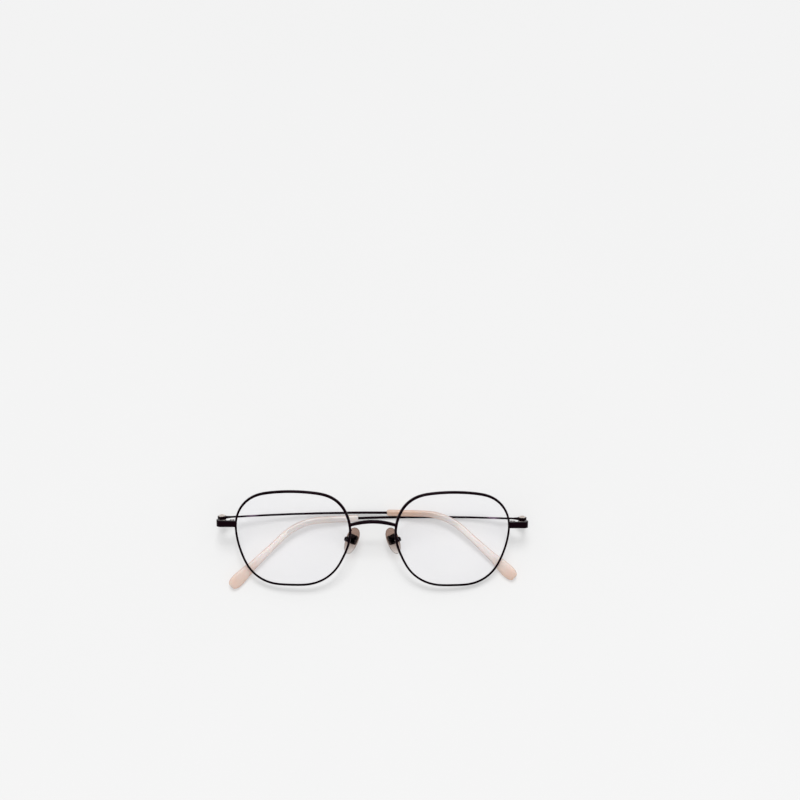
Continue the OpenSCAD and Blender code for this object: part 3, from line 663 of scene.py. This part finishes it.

# Temples: spring wire flattened to an eye at the hinge and swaged thicker towards the tip.
# The wire is enamelled as far as the tip, and its core inside the tip is left as bare metal.
# Where the flattened end runs out into the round wire its enamel is glossier, and a short lilac sheen is
# painted into its colour: a painted highlight.
sheen_reach = -53.3 * mm
sheen_fades = (3.2 * mm, 0.6 * mm)
painted_sheen_strength = 0.28
# Folded, the left temple runs towards plus x and the right one towards minus x.
for side, sign in (("left", 1), ("right", -1)):
    tip_mouth = min(sign * corner[0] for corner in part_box(f"temple_tip_{side}")) + 0.2 * mm
    temple_wire, tree = new_material(f"temple_wire_{side}")
    wire_place = add(tree, "ShaderNodeTexCoord", {})
    wire_axes = add(tree, "ShaderNodeSeparateXYZ", {}, Vector=wire_place.outputs["Object"])
    wire_reach = add(tree, "ShaderNodeMath", {"operation": "MULTIPLY", 1: sign}, _0=wire_axes.outputs["X"])
    wire_bare = add(tree, "ShaderNodeMath", {"operation": "GREATER_THAN", 1: tip_mouth},
                    _0=wire_reach.outputs[0])
    wire_enamel, wire_gloss = enamel_tones(tree, wire_place)
    wire_past = add(tree, "ShaderNodeMath", {"operation": "SUBTRACT", 1: sheen_reach},
                    _0=wire_reach.outputs[0])
    wire_off = add(tree, "ShaderNodeMath", {"operation": "ABSOLUTE"}, _0=wire_past.outputs[0])
    wire_gloss_and_painted_sheen = add(tree, "ShaderNodeMapRange", {"From Min": sheen_fades[0], "From Max": sheen_fades[1]},
                    Value=wire_off.outputs[0])
    wire_shine = add(tree, "ShaderNodeMapRange", {"To Min": 0.04, "To Max": 1}, Value=wire_gloss_and_painted_sheen.outputs[0])
    wire_painted_sheen = add(tree, "ShaderNodeMath", {"operation": "MULTIPLY", 1: painted_sheen_strength},
                     _0=wire_gloss_and_painted_sheen.outputs[0])
    # Painted highlight: over the sheen the enamel's colour is mixed towards lilac.
    wire_painted_highlight = add(tree, "ShaderNodeMix", {"data_type": "RGBA", 7: linear("#a58fae")},
                     Factor=wire_painted_sheen.outputs[0], _6=wire_enamel.outputs[2])
    wire_colour = add(tree, "ShaderNodeMix", {"data_type": "RGBA", 7: linear("#8d7566")},
                      Factor=wire_bare.outputs[0], _6=wire_painted_highlight.outputs[2])
    wire_surface = add(tree, "ShaderNodeBsdfPrincipled", {"IOR": 1.5, "Specular Tint": enamel_glint},
                       Base_Color=wire_colour.outputs[2], Metallic=wire_bare.outputs[0],
                       Roughness=wire_gloss.outputs[0], Specular_IOR_Level=wire_shine.outputs[0])
    add(tree, "ShaderNodeOutputMaterial", {}, Surface=wire_surface.outputs[0])
    dress([f"temple_{side}"], temple_wire, crease=50)
    coat(f"temple_{side}", thickness=0.045 * mm)

# Temple tips: milky cellulose acetate, cut from sheet, drilled, pushed over the hot core, bent
# with it and tumbled to a gloss. A faint glow of its own colour is painted light that lifts it, and the core
# shows through as a soft band.
# The sheet is milky in its middle and blushes to peach in the paddles and at the left tip's mouth.
milky_acetate, tree = new_material("milky_acetate")
acetate_place = add(tree, "ShaderNodeTexCoord", {})
acetate_cloud = add(tree, "ShaderNodeTexNoise", {"Scale": 1 / (7 * mm), "Detail": 2, "Distortion": 0.6},
                    Vector=acetate_place.outputs["Object"])
acetate_axes = add(tree, "ShaderNodeSeparateXYZ", {}, Vector=acetate_place.outputs["Object"])
acetate_end = add(tree, "ShaderNodeMapRange", {"From Min": -6 * mm, "From Max": -17 * mm},
                  Value=acetate_axes.outputs["Y"])
acetate_mouth = add(tree, "ShaderNodeMapRange", {"From Min": 34 * mm, "From Max": 18 * mm, "To Max": 0.95},
                    Value=acetate_axes.outputs["X"])
acetate_start = add(tree, "ShaderNodeMath", {"operation": "GREATER_THAN", 1: 0}, _0=acetate_axes.outputs["X"])
# Painted light: the blush in the paddles fades towards minus x, so the right tip's paddle is painted paler,
# as if more light fell on it.
acetate_painted_light = add(tree, "ShaderNodeMapRange",
                   {"From Min": -50 * mm, "From Max": 50 * mm, "To Min": 0.65, "To Max": 1.0},
                   Value=acetate_axes.outputs["X"])
acetate_far = add(tree, "ShaderNodeMath", {"operation": "MULTIPLY"}, _0=acetate_end.outputs[0],
                  _1=acetate_painted_light.outputs[0])
acetate_near = add(tree, "ShaderNodeMath", {"operation": "MULTIPLY"}, _0=acetate_mouth.outputs[0],
                   _1=acetate_start.outputs[0])
acetate_blush = add(tree, "ShaderNodeMath", {"operation": "MAXIMUM"}, _0=acetate_far.outputs[0],
                    _1=acetate_near.outputs[0])
acetate_milk = add(tree, "ShaderNodeMix", {"data_type": "RGBA", 6: linear("#fff8f5"), 7: linear("#f9ece6")},
                   Factor=acetate_cloud.outputs["Fac"])
acetate_peach = add(tree, "ShaderNodeMix", {"data_type": "RGBA", 6: linear("#dfb9a0"), 7: linear("#e6c9b6")},
                    Factor=acetate_cloud.outputs["Fac"])
acetate_sheet = add(tree, "ShaderNodeMix", {"data_type": "RGBA"}, Factor=acetate_blush.outputs[0],
                    _6=acetate_milk.outputs[2], _7=acetate_peach.outputs[2])
acetate_edge = add(tree, "ShaderNodeLayerWeight", {"Blend": 0.3})
acetate_depth = add(tree, "ShaderNodeMapRange", {"From Min": 0.1, "From Max": 0.6, "To Max": 0.75},
                    Value=acetate_edge.outputs["Facing"])
acetate_colour = add(tree, "ShaderNodeMix", {"data_type": "RGBA", 7: linear("#cda896")},
                     Factor=acetate_depth.outputs[0], _6=acetate_sheet.outputs[2])
acetate_thickness = add(tree, "ShaderNodeMapRange", {"To Min": 0.72, "To Max": 0.97},
                        Value=acetate_edge.outputs["Facing"])
acetate_polish = add(tree, "ShaderNodeTexNoise", {"Scale": 1 / (1.2 * mm), "Detail": 3},
                     Vector=acetate_place.outputs["Object"])
acetate_gloss = add(tree, "ShaderNodeMapRange", {"To Min": 0.14, "To Max": 0.26},
                    Value=acetate_polish.outputs["Fac"])
acetate_relief = add(tree, "ShaderNodeBump", {"Strength": 0.2, "Distance": 0.01 * mm},
                     Height=acetate_polish.outputs["Fac"])
# The emission of the sheet's own colour is painted light: a glow where no lamp is.
acetate_surface = add(tree, "ShaderNodeBsdfPrincipled",
                      {"IOR": 1.48, "Subsurface Weight": 0.5, "Subsurface Radius": (1, 0.75, 0.6),
                       "Subsurface Scale": 1.5 * mm, "Emission Strength": 0.06},
                      Base_Color=acetate_colour.outputs[2], Emission_Color=acetate_colour.outputs[2],
                      Alpha=acetate_thickness.outputs[0], Roughness=acetate_gloss.outputs[0],
                      Normal=acetate_relief.outputs[0])
add(tree, "ShaderNodeOutputMaterial", {}, Surface=acetate_surface.outputs[0])
# Tumbling rounds every edge: the tip is meshed again in small cells and relaxed a few times.
tip_names = ["temple_tip_left", "temple_tip_right"]
tip_cell = 0.2 * mm
tumbling_rounds = 8
dress(tip_names, milky_acetate, crease=60)
for name in tip_names:
    cells = nodes[name].modifiers.new("cells", "REMESH")
    cells.mode = "VOXEL"
    cells.voxel_size = tip_cell
    cells.use_smooth_shade = True
    tumbled = nodes[name].modifiers.new("tumbled", "SMOOTH")
    tumbled.factor = 0.5
    tumbled.iterations = tumbling_rounds
